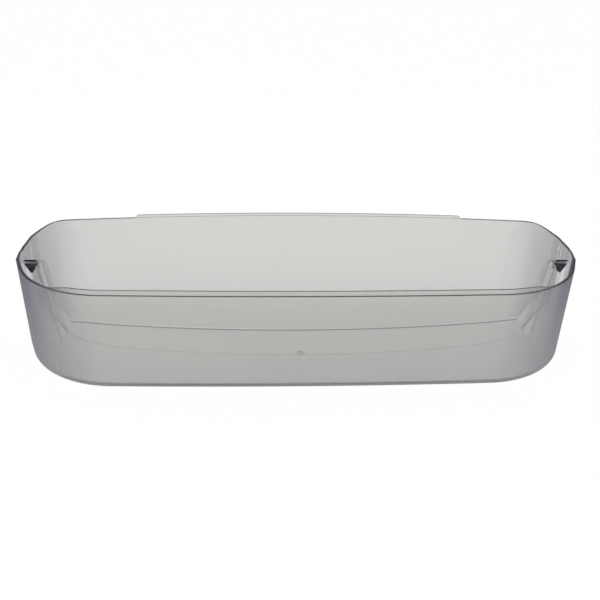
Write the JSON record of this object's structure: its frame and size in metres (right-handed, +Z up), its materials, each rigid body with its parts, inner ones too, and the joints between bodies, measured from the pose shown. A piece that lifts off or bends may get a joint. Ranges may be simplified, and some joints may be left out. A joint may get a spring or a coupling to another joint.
{
  "type": "fridge door shelf",
  "caption": "Clear tinted plastic shelf for the inside of a fridge door: a long open tray with a bowed front, rounded corners, a taller back wall and a guide channel in each end.",
  "frame": {"origin": "bottom centre of the overall box, on the plane that the shelf stands on", "axes": "+X along the shelf, +Y from the front wall towards the door, +Z up"},
  "size_m": [0.45, 0.1136, 0.108],
  "materials": {
    "clear_plastic": "Clear smoky grey injection-moulded plastic, smooth and glossy, darker at its edges and ribs."
  },
  "bodies": {
    "root": {"door_shelf": "clear_plastic"}
  },
  "joints": []
}
